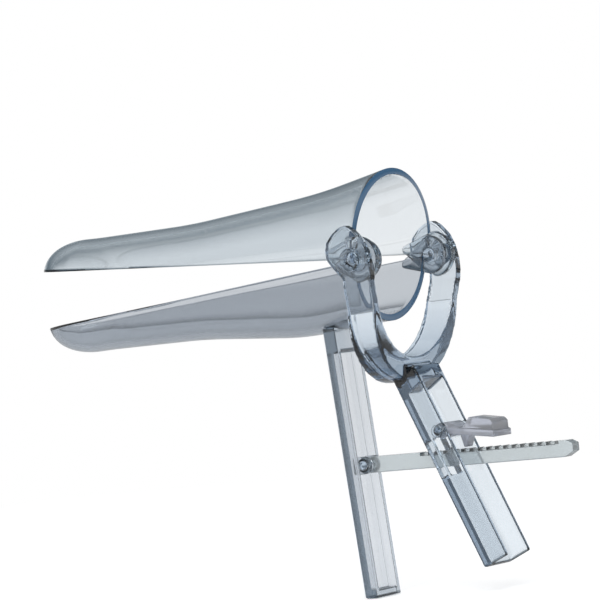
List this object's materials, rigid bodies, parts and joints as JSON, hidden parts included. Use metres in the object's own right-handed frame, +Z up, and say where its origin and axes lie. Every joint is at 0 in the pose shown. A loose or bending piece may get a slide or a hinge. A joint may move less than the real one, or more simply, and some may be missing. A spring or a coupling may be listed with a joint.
{
  "type": "bivalve speculum",
  "caption": "Clear moulded bivalve speculum: two hinged rounded blades, ring yoke with rear handle, front handle, toothed ratchet bar and thumb latch.",
  "frame": {"origin": "middle of the hinge axis, in the mouth between the two hinge pins", "axes": "+X out of the mouth toward the user, the blades reach along -X; +Y across, along the hinge axis; +Z up, the handles hang along -Z"},
  "size_m": [0.1914, 0.054, 0.132],
  "materials": {
    "lower_blade": "clear polished polystyrene",
    "upper_blade": "clear polished polystyrene",
    "yoke_lever": "clear polished polystyrene",
    "hinge_pin_right": "clear polished polystyrene",
    "hinge_pin_left": "clear polished polystyrene",
    "ratchet_bar": "clear polished polystyrene",
    "ratchet_pin": "clear polished polystyrene",
    "release_latch": "clear polished polystyrene",
    "latch_pin": "clear polished polystyrene"
  },
  "bodies": {
    "frame": {"lower_blade": "lower_blade", "ratchet_pin": "ratchet_pin"},
    "lever": {"upper_blade": "upper_blade", "yoke_lever": "yoke_lever", "hinge_pin_right": "hinge_pin_right", "hinge_pin_left": "hinge_pin_left", "latch_pin": "latch_pin"},
    "ratchet": {"ratchet_bar": "ratchet_bar"},
    "latch": {"release_latch": "release_latch"}
  },
  "joints": [
    {"name": "blade_hinge", "type": "hinge", "parent": "frame", "child": "lever", "pos_m": [0, 0, 0], "axis": [0, 1, 0], "range_deg": [-7.8, 17]},
    {"name": "ratchet_swing", "type": "hinge", "parent": "frame", "child": "ratchet", "pos_m": [-0.0184, 0, -0.063], "axis": [0, 1, 0], "range_deg": [-4.5, 8.5]},
    {"name": "latch_lift", "type": "hinge", "parent": "lever", "child": "latch", "pos_m": [0.01248, 0, -0.05429], "axis": [0, -1, 0], "range_deg": [0, 8], "stiffness_Nm_per_rad": 0.02}
  ],
  "couplings": [
    {"joint": "ratchet_swing", "follows": "blade_hinge", "ratio": 0.48}
  ]
}
